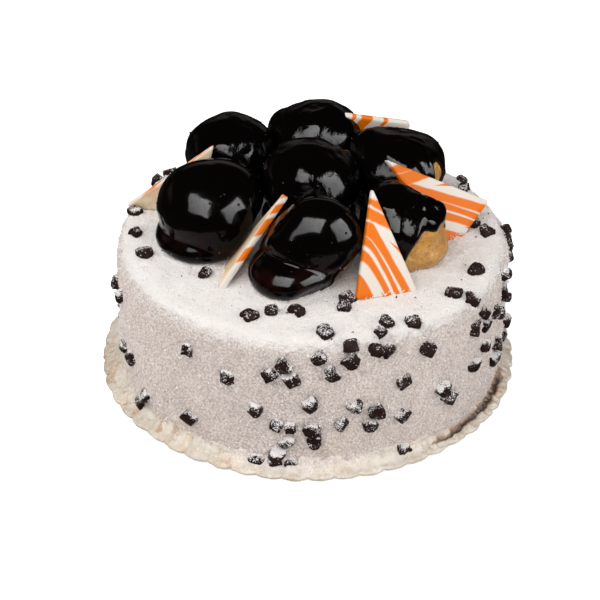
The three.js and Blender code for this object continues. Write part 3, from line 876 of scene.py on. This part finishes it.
def makeChips():
    # also gives the points on top of the chips where loose grains lie
    ways, squares = cubeGrid(chips["steps"])
    placed, tops = [], []
    for number, (degrees, along) in enumerate(chipPlaces(), start=1):
        point, out = onCoat(compass(degrees), np.maximum(along, chips["lowest"]))
        shape, thickness = chipShape(ways, number)
        tumble = [(chance(number * 5 + k) - 0.5) * chips["tumble"] for k in (1, 2)]
        turn = Euler((*tumble, chance(number * 5 + 3) * math.pi), "ZYX")
        facing = Vector((0, 0, 1)).rotation_difference(Vector(out)).to_matrix() @ turn.to_matrix()
        chip = shape @ np.array(facing).T + point + out * thickness * chips["proud"]
        placed.append(chip)
        lift = chip @ (out + np.array([0, 0, chips["upwards"]]))
        upper = chip[lift > np.quantile(lift, chips["topmost"])]
        tops.append(upper[rng.integers(0, len(upper), grains["chips"]["count"])])
    faces = np.concatenate([squares + k * len(ways) for k in range(len(placed))])
    addPiece("chocolateChips", np.concatenate(placed), faces.tolist(), chipMaterial())
    return np.concatenate(tops)


# Bubbles in the glaze

bubbles = {"count": 14, "sizes": (0.3, 0.6, 2), "steps": 3, "ripple": 0.004}


def makeBubbles(places):
    ball, squares = cubeGrid(bubbles["steps"])
    sizes = randomSizes(bubbles, len(places))
    points = places[:, None] + ball[None] * sizes[:, None, None]
    faces = np.concatenate([squares + k * len(ball) for k in range(len(places))])
    piece = addPiece("glazeBubbles", points.reshape(-1, 3), faces.tolist(), glazeMaterial(bubbles["ripple"]))


# Loose grains

# Sizes are the smallest, how much more the largest is, and how rare the large ones are.
grains = {
    "stretch": (0.65, 1.2), "colours": ((0.80, 0.735, 0.705), (0.93, 0.885, 0.86)),
    "coat": {"count": 28000, "sizes": (0.45, 0.9, 2.2), "sunk": (-0.1, 0.45), "inwards": 58, "fading": 100},
    "collar": {"count": 2400, "sizes": (0.45, 0.9, 2.2), "past": (0.5, 0.7), "up": (0.9, 0.9)},
    "chips": {"count": 9, "sizes": (0.3, 0.5, 1)},
    "glaze": {"low": 9, "high": 2, "sizes": (0.3, 0.6, 2)},
    "foot": {
        "tries": 3600, "sizes": (0.45, 0.8, 1.5), "spread": 2.4, "from": 0.4, "inside": 1.5, "up": 0.9,
        "heap": 3.4, "slope": 1.4,
    },
    "shards": {
        "count": 70, "sizes": (0.45, 0.9, 2.2), "spread": 1.3, "up": (0.5, 1.6), "clear": 1.5,
        "sunkShare": 0.25,
    },
    "scraps": {"count": 75, "sizes": (0.7, 1.3, 2), "up": 0.1, "shoulderShare": 0.6, "inwards": 34},
}


def grainMaterial():
    recipe = Recipe(bpy.data.materials.new("crumbGrain"))
    return recipe.finish({
        "Base Color": recipe.mix(*grains["colours"], recipe.noise(2.5, 2).step(0.35, 0.65)),
        "Roughness": 0.85, "Specular IOR Level": 0.3, "Normal": recipe.bump(recipe.noise(0.3), 0.1),
    })


def randomSizes(kind, count):
    smallest, more, rare = kind["sizes"]
    return smallest + more * rng.random(count) ** rare


def speckMesh(name, places, sizes, material):
    # one closed crumb of six faces at every place, each turned and stretched its own way
    base = np.array([(0, 0, 0.5), (0.5, 0, 0), (-0.25, 0.43, 0), (-0.25, -0.43, 0), (0, 0, -0.5)])
    sides = np.array([(0, 1, 2), (0, 2, 3), (0, 3, 1), (4, 2, 1), (4, 3, 2), (4, 1, 3)])
    count = len(places)
    basis, _ = np.linalg.qr(rng.normal(size=(count, 3, 3)))
    basis[np.linalg.det(basis) < 0, 0] *= -1
    shapes = base[None] * rng.uniform(*grains["stretch"], (count, 1, 3)) * sizes[:, None, None]
    points = np.einsum("nij,nkj->nki", basis, shapes) + places[:, None]
    faces = (sides[None] + 5 * np.arange(count)[:, None, None]).reshape(-1, 3)
    return addPiece(name, points.reshape(-1, 3), faces.tolist(), material, smooth=False)


def coatPlaces(footprints):
    # spread evenly, and thinner towards the middle of the top, where the puffs stand
    kind = grains["coat"]
    tries = kind["count"] * 2
    along = coat["base"] + 1 + rng.random(tries) * (arcEnd + kind["inwards"] - coat["base"])
    angle = rng.random(tries) * 2 * math.pi
    kept = rng.random(tries) < 1 - np.maximum(0, along - arcEnd) / kind["fading"]
    angle, along = angle[kept][:kind["count"]], along[kept][:kind["count"]]
    points, out = coatSurface(angle, along, footprints)
    sizes = randomSizes(kind, len(points))
    return points + out * (sizes * rng.uniform(*kind["sunk"], len(points)))[:, None], sizes


def collarPlaces(footprints):
    kind = grains["collar"]
    count = kind["count"] // len(footprints)
    lowest, more = kind["up"]
    rings = []
    for place, ring in footprints.items():
        column = rng.integers(0, len(ring), count)
        flat = ring[column] + rng.normal(*kind["past"], count)
        up = coat["top"] + lowest + rng.random(count) * more
        middle = (puffs[place]["x"], puffs[place]["y"], 0)
        rings.append(onCircle(flat, column / len(ring) * 2 * math.pi, up) + middle)
    return np.concatenate(rings)


def footPlaces():
    # heaped where the wall meets the cream
    kind = grains["foot"]
    turn = rng.random(kind["tries"]) * 2 * math.pi
    turn = turn[rng.random(len(turn)) < dustShare(turn)]
    away = np.abs(rng.normal(0, kind["spread"], len(turn)))
    flat = np.minimum(wallRadius(turn) + kind["from"] + away, rimRadius(turn) - kind["inside"])
    heap = np.maximum(0, kind["heap"] - away * kind["slope"]) * rng.random(len(turn))
    return onCircle(flat, turn, foot["height"] + kind["up"] + heap)


def shardPlaces():
    # thrown up where the shards go into the top
    kind = grains["shards"]
    lowest, more = kind["up"]
    sunk = []
    for shard in shards.values():
        start, end = (np.array(corner, float) for corner in shard["corners"][1:])
        if max(start[2], end[2]) > coat["top"] + kind["clear"]:
            start = end + (start - end) * kind["sunkShare"]
        along = rng.random((kind["count"], 1))
        sunk.append(start * (1 - along) + end * along + rng.normal(0, kind["spread"], (kind["count"], 3)))
    sunk = np.concatenate(sunk)
    sunk = sunk[np.hypot(sunk[:, 0], sunk[:, 1]) < coat["radius"] - coat["shoulder"]]
    sunk[:, 2] = coat["top"] + lowest + rng.random(len(sunk)) * more
    return sunk


def scrapPlaces(footprints, rings):
    # at the feet of the puffs and over the top
    kind = grains["scraps"]
    near = rings[rng.integers(0, len(rings), kind["count"])] + np.array([0, 0, kind["up"]])
    angle = rng.random(kind["count"]) * 2 * math.pi
    along = wallTop + (arcEnd - wallTop) * kind["shoulderShare"] + rng.random(len(angle)) * kind["inwards"]
    over, _ = coatSurface(angle, along, footprints)
    return np.concatenate([near, over])


def makeGrains(footprints, chipTops, crumbed):
    grain = grainMaterial()
    places, sizes = coatPlaces(footprints)
    speckMesh("crumbGrains", places, sizes, grain)

    def scatter(name, kind, places):
        speckMesh(name, places, randomSizes(grains[kind], len(places)), grain)

    rings = collarPlaces(footprints)
    scatter("collarGrains", "collar", rings)
    scatter("chipGrains", "chips", chipTops)
    scatter("glazeGrains", "glaze", crumbed)
    scatter("footGrains", "foot", footPlaces())
    scatter("shardGrains", "shards", shardPlaces())
    scraps = scrapPlaces(footprints, rings)
    speckMesh("chocolateScraps", scraps, randomSizes(grains["scraps"], len(scraps)), chipMaterial())


# The foot of cream

foot = {
    "radius": 108.6, "scallops": 52, "scallopDepth": 1.9, "scallopMiddle": 0.6, "spread": 0.9,
    "spreadAt": -92, "oval": 1.2, "ovalAt": 20, "lift": 0.7, "liftAt": 30, "ripples": 5, "ripple": 0.6,
    "mostSunk": 0.6, "trimmed": 0.1, "low": 1.0, "high": 2.6, "height": 3.6, "heap": 1.8, "columns": 52 * 14,
    "nicks": [(0.8, 7, 21), (0.5, 2.4, 22)],                       # how deep, how wide, and a seed
    "waves": [(0.6, 6.5, 3), (0.4, 2.6, 4), (0.2, 1.3, 5)],
    "pleats": (0.28, 3, 3, 12, 6),                                 # deep, how many a scallop, how they wander
    # the rim from below: how far in, how much of its low height, of the rise to its high one, and up
    "rim": [
        (5, 0, 0, 0), (1.6, 0.45, 0, 0), (0.35, 0.85, 0, 0), (0, 1, 0.35, 0), (0.1, 1, 0.75, 0),
        (0.6, 1, 1, 0.12), (1.5, 1, 1, 0.3),
    ],
    "slopeRows": (0.2, 0.4, 0.6, 0.8, 1.0),
    "slopeEnds": (1.5, 0.3, 1.9, 0.35),                            # in from the rim, up, out from the wall, up
    "fillet": ((1.1, 1.0), (0.6, 2.2), (0.15, 3.6), (-0.8, 4.2)),  # out from the wall, and up
    "ivory": ((0.59, 0.52, 0.42), (0.72, 0.66, 0.565)), "peach": (0.74, 0.52, 0.35),
    # under is the colour of painted shade along the rim's low edge
    "toffee": (0.46, 0.27, 0.15), "under": (0.30, 0.24, 0.19), "syrup": (0.33, 0.17, 0.08),
    "black": (0.035, 0.014, 0.008), "fleck": (0.10, 0.055, 0.04),
    "dust": ((0.66, 0.57, 0.52), (0.84, 0.76, 0.71)), "dustEverywhere": 0.12,
    "dusty": [(-6, 36, 0.55), (150, 60, 0.5)],                     # degrees round, degrees wide, how much
    "dustShown": (1.2, 0.9),                                       # at the wall, and how much less at the rim
    "stained": (0.3, 0.65, -60, 30),                               # everywhere, more, degrees round and wide
}

# dark syrup that ran into the joint between wall and foot, by degrees round
soak = {
    "from": 34, "to": 84, "softEnds": 8, "radius": 102.0, "thin": 0.55, "wide": 2.0, "deep": 2.6, "high": 6.2,
    "wallIn": 2.2, "ragged": [(0.9, 5, 8), (0.5, 1.8, 9)],
}


def creamMaterial():
    recipe = Recipe(bpy.data.materials.new("spreadCream"))
    peach = recipe.noise(13, 4, rough=0.7).step(0.50, 0.66)
    toffee = recipe.noise(8, 4, rough=0.7).step(0.50, 0.62)
    crumb = recipe.noise(1.0, 3).step(0.60, 0.68)
    ivory = recipe.mix(*foot["ivory"], recipe.noise(7, 3).step(0.35, 0.65))
    stained = recipe.mix(ivory, foot["peach"], peach * 0.5)
    toasted = recipe.mix(stained, foot["toffee"], toffee * recipe.painted("stain"))
    # painted shade along the low edge of the rim, below about 2 mm
    shadowed = recipe.mix(toasted, foot["under"], recipe.height().step(0.0022, 0.0006) * 0.8)
    wet = recipe.painted("soak")
    syrupy = recipe.mix(shadowed, foot["syrup"], wet.step(0.03, 0.4))
    soaked = recipe.mix(syrupy, foot["black"], wet.step(0.35, 0.8))
    flecked = recipe.mix(soaked, foot["fleck"], recipe.noise(1.3, 2).step(0.70, 0.75) * 0.8)
    dusted = (recipe.painted("dusted") + recipe.noise(2.4, 4, rough=0.7) * 1.5 - 0.75).step(0.35, 0.75)
    dust = recipe.mix(*foot["dust"], recipe.noise(1.1, 3).step(0.35, 0.65))
    return recipe.finish({
        "Base Color": recipe.mix(flecked, dust, dusted.most(crumb * 0.6) * (1 - wet.step(0.03, 0.3))),
        "Roughness": 0.45 + dusted * 0.45,
        "Normal": recipe.bump(recipe.noise(2.2, 4, rough=0.6) + recipe.noise(0.9, 3) * 0.5, 1.1),
    })


def rimRadius(angle):
    scallop = np.sqrt(np.abs(np.sin(angle * foot["scallops"] / 2))) - foot["scallopMiddle"]
    spread = foot["spread"] * np.cos(angle - compass(foot["spreadAt"]))
    oval = foot["oval"] * np.cos(2 * (angle - compass(foot["ovalAt"])))
    return foot["radius"] + spread - oval + foot["scallopDepth"] * scallop


def rimLift(angle):
    ripple = foot["ripple"] * np.sin(foot["ripples"] * angle)
    return foot["lift"] * (np.cos(angle - compass(foot["liftAt"])) + ripple)


def soaked(angle):
    # 1 where syrup ran into the joint, with soft ends
    inside = np.minimum(bearing(angle) - soak["from"], soak["to"] - bearing(angle))
    return np.clip(inside / soak["softEnds"], 0, 1)


def soakLine(points):
    # a ragged line next to the wall, thin at one end and wide at the other
    turn = np.arctan2(points[..., 1], points[..., 0])
    along = (bearing(turn) - soak["from"]) / (soak["to"] - soak["from"])
    wide = soak["thin"] + (soak["wide"] - soak["thin"]) * np.clip(along, 0, 1)
    middle = soak["radius"] + relief(points, soak["ragged"])
    return soaked(turn) * bell((np.hypot(points[..., 0], points[..., 1]) - middle) / wide)


def dustShare(angle):
    # how thickly crumbs lie on the cream, by the way round
    total = foot["dustEverywhere"]
    for middle, wide, share in foot["dusty"]:
        total = total + share * bell(np.degrees(wrapped(angle - compass(middle))) / wide)
    return np.clip(total * (1 - soaked(angle)), 0, 1)


def footSections(angle):
    # how far out and how high each row of the cream is, from its underside to the wall
    edge = onCircle(rimRadius(angle), angle, 0)
    nicks = sum(deep * np.abs(smoothNoise(edge, wide, seed)) for deep, wide, seed in foot["nicks"])
    rim, lift, wall = rimRadius(angle) - foot["trimmed"] - nicks, rimLift(angle), wallRadius(angle)
    low, high = foot["low"] + np.maximum(-foot["mostSunk"], lift), foot["high"] + lift
    sections = [(rim - inwards, low * a + (high - low) * b + up) for inwards, a, b, up in foot["rim"]]
    inside, over, outside, above = foot["slopeEnds"]
    for share in foot["slopeRows"]:
        flat = (rim - inside) * (1 - share) + (wall + outside) * share
        climb = (high + over) * (1 - share) + (foot["height"] + above) * share
        sections.append((flat, climb + foot["heap"] * share ** 2))
    for out, up in foot["fillet"]:
        sections.append((wall + out, foot["height"] + foot["heap"] + up))
    return sections


def makeFoot():
    angle = np.arange(foot["columns"]) * 2 * math.pi / foot["columns"]
    rows = np.array([onCircle(flat, angle, up) for flat, up in footSections(angle)])
    number = np.arange(len(rows))[:, None]
    filletRow = len(rows) - len(foot["fillet"])
    deep, perScallop, wander, wide, seed = foot["pleats"]
    pleats = np.sin(angle * foot["scallops"] * perScallop + wander * smoothNoise(rows, wide, seed))
    swell = relief(rows, foot["waves"]) + deep * pleats
    rough = np.clip((number - 3) / 3, 0, 1)                        # smooth up to the widest row
    rows[..., 2] = np.maximum(rows[..., 2] + swell * rough, 0)
    rows[..., 2] -= soak["deep"] * soakLine(rows) * rough
    out = onCircle(1, angle, 0)
    rows -= ((number >= filletRow) * soaked(angle) * soak["wallIn"])[..., None] * out
    rows += (np.clip((number - filletRow + 1) / 2, 0, 1) * swell)[..., None] * out
    points = skin(rows, (0, 0, 0), (0, 0, foot["height"]))
    piece = addPiece("creamFoot", points, skinFaces(len(rows), foot["columns"]), creamMaterial())
    turn = np.arctan2(points[:, 1], points[:, 0])
    everywhere, more, middle, wide = foot["stained"]
    outwards = np.hypot(points[:, 0], points[:, 1]) - wallRadius(turn)
    outwards = outwards / np.maximum(rimRadius(turn) - wallRadius(turn), 1)
    paint(piece, "soak", soakLine(points) * np.clip(soak["high"] - points[:, 2], 0, 1))
    paint(piece, "stain", everywhere + more * bell((bearing(turn) - middle) / wide))
    atWall, lessAtRim = foot["dustShown"]
    paint(piece, "dusted", np.clip(atWall * dustShare(turn) - outwards * lessAtRim, 0, 1))
    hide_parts("cream_foot")


# Marbled shards

# Three corners, the tip first. The print is drawn from the tip: right gives the number of its
# right-hand corner, and printed the face that shows it, +1 or -1 along the sheet's way through.
# Slant moves the print with depth, and bold widens its orange bands.
shards = {
    "left": {
        "corners": [(-51, 14, 118), (-97.2, 19.5, 78), (-60, 15.5, 75.5)], "right": 1, "printed": -1,
        "print": "streaks", "slant": 2,
    },
    "front": {
        "corners": [(-13.3, -22, 112), (-44.7, -55, 76.6), (-42.2, -27.5, 74.5)], "right": 2, "printed": 1,
        "print": "bars", "slant": 1.2,
    },
    "front_right": {
        "corners": [(27.6, -31, 122), (21, -61.5, 77.4), (51.5, -51, 75)], "right": 2, "printed": 1,
        "print": "waves", "bold": 0.006,
    },
    "right": {
        "corners": [(34.9, 1.5, 119.2), (90, 15, 88), (71.5, -6.5, 71.5)], "right": 1, "printed": -1,
        "print": "waves", "bold": 0.017,
    },
    "back": {
        "corners": [(15, 48, 119), (50.5, 56, 110.6), (42, 61, 76)], "right": 2, "printed": -1,
        "print": "slashes",
    },
}

shardShape = {
    "thick": 3.4, "corner": 2.2, "bevel": 0.4, "flatInset": 1.6, "perSide": 34, "perCorner": 8,
    "rings": (0.15, 0.4, 0.65, 0.88), "waves": [(0.12, 9, 5)],
    "ghost": 0.08,                                                 # how much of the print shows from behind
}

# An orange band lies below its first borders and above its last one. A border starts so far down
# the left side, falls back towards the tip in a curve as it crosses the shard, and leans in a
# straight line as well.
marbling = {
    "reach": 0.22, "wander": 0.02, "soft": 0.013,
    "bands": {
        "waves": [
            ((0.096, 0, 0.75), (0.143, 0, 0.63)), ((0.177, 0, 0.65), (0.275, 0, 0.70)),
            ((0.305, 0, 0.78), (0.250, 0, 0.16), (0.425, 0.13, 0.085)),
            ((0.435, 0.13, 0.015), (0.51, 0.17, -0.04)), ((0.56, 0.15, -0.03), (0.65, 0.16, -0.03)),
            ((0.78, 0.085, 0), (2, 0, 0)),
        ],
        "bars": [
            ((-1, 0, 0), (0.035, 0, 0)), ((0.10, 0, 0), (0.20, 0, 0)), ((0.25, 0, 0), (0.43, 0, 0)),
            ((0.55, 0, 0), (0.70, 0, 0)),
        ],
        "streaks": [
            ((0.06, 0, 1), (0.10, 0, 1)), ((0.16, 0, 1), (0.24, 0, 1)), ((0.30, 0, 1), (0.42, 0, 1)),
            ((0.60, 0, 1), (0.74, 0, 1)),
        ],
        "slashes": [
            ((0.125, 0, 1.45), (0.185, 0, 1.45)), ((0.262, 0, 1.45), (0.43, 0, 1.45)),
            ((0.595, 0, 1.45), (0.66, 0, 1.45)), ((1.07, 0, 1.45), (1.25, 0, 1.45)),
        ],
    },
    "flecks": {"waves": [((0.109, 0.385), 0.515, 0.08), ((0.573, 0.375), 0.2, 0.2)]},
    "orange": (0.80, 0.17, 0.002), "white": (0.77, 0.70, 0.62),
    "plain": ((0.80, 0.66, 0.47), (0.70, 0.50, 0.30)),
}


def shardMaterial(pattern, bold):
    recipe = Recipe(bpy.data.materials.new("marbled_" + pattern))
    drawn = recipe.painted("drawn", "Vector")
    left = recipe.axis(drawn, "X")
    right, printed = left.other("Y"), left.other("Z")
    wander = recipe.node("TexNoise", None, {"Vector": drawn, "Scale": 5.0, "Detail": 1.0}, "Fac") - 0.5
    along = left + wander * marbling["wander"]
    curve = 1 - (right * (-1 / marbling["reach"])).exponent()
    soft = marbling["soft"]

    def border(start, fall, lean):
        return start - fall * curve - lean * right if fall or lean else start

    orange = 0
    for *above, below in marbling["bands"][pattern]:
        band = (border(*below) - along + bold).step(-soft, soft)
        for edge in above:
            band = band * (along - border(*edge) + bold).step(-soft, soft)
        orange = band.most(orange)
    for (down, across), slope, spread in marbling["flecks"].get(pattern, []):
        past = right - across
        off = (left - down + past * slope).size()
        orange = orange.most((past * spread - off + 0.004).step(0, 0.008))
    banded = recipe.mix(marbling["white"], marbling["orange"], orange)
    creamy = recipe.mix(*marbling["plain"], recipe.noise(9, 2).step(0.4, 0.7))
    return recipe.finish({
        "Base Color": recipe.mix(creamy, banded, printed), "Roughness": 0.45, "Specular IOR Level": 0.05,
        "Normal": recipe.bump(recipe.noise(3, 2), 0.08),
    })


def towards(start, end):
    return (end - start) / np.linalg.norm(end - start) * shardShape["corner"]


def roundedTriangle(corners):
    # evenly stepped points round a triangle whose corners are cut round
    outline = []
    for k, corner in enumerate(corners):
        before, after = corners[k - 1], corners[(k + 1) % 3]
        for t in np.linspace(0, 1, shardShape["perCorner"]):
            outline.append(corner + towards(corner, before) * (1 - t) ** 2 + towards(corner, after) * t ** 2)
        start, end = corner + towards(corner, after), after + towards(after, corner)
        for t in np.linspace(0, 1, shardShape["perSide"])[1:-1]:
            outline.append(start * (1 - t) + end * t)
    return np.array(outline)


def makeShard(place, shard):
    corners = np.array(shard["corners"], float)
    middle = corners.mean(axis=0)
    through = np.cross(corners[1] - corners[0], corners[2] - corners[0])
    through /= np.linalg.norm(through)
    outline = roundedTriangle(corners) - middle
    half, bevel = shardShape["thick"] / 2, shardShape["bevel"]
    tight = outline * (1 - shardShape["flatInset"] * bevel / np.linalg.norm(outline, axis=1)[:, None])
    rings = [tight * share - through * half for share in (*shardShape["rings"], 1)]
    rings += [outline - through * (half - bevel), outline + through * (half - bevel)]
    rings += [tight * share + through * half for share in (1, *shardShape["rings"][::-1])]
    rows = np.array(rings)
    rows = rows + through * relief(rows + middle, shardShape["waves"])[..., None]
    points = skin(rows, -through * half, through * half) + middle
    material = shardMaterial(shard["print"], shard.get("bold", 0))
    piece = addPiece("marbledShard_" + place, points, skinFaces(len(rings), len(outline)), material)

    # where each point lies down the left side, down the right side and through the sheet
    tip, left, right = corners[0], corners[3 - shard["right"]], corners[shard["right"]]
    sides = np.stack([left - tip, right - tip, through], axis=1)
    drawn = np.linalg.solve(sides, (points - tip).T).T
    inside = drawn[:, 2] * shard["printed"]
    drawn[:, 0] += inside * shard.get("slant", 0) / np.linalg.norm(left - tip)
    drawn[:, 2] = np.clip((inside + half) / bevel, shardShape["ghost"], 1)
    paint(piece, "drawn", drawn)
    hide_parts("shard_" + place)


# The whole

print("stage: camera and studio")
makeCamera()
makeStudio()
print("stage: puffs and glaze")
footprints, bubbled, crumbed = makePuffs()
makeBubbles(bubbled)
print("stage: crumb coat")
makeCoat(footprints)
print("stage: chips")
chipTops = makeChips()
print("stage: loose grains")
makeGrains(footprints, chipTops, crumbed)
print("stage: cream foot")
makeFoot()
print("stage: shards")
for place, shard in shards.items():
    makeShard(place, shard)
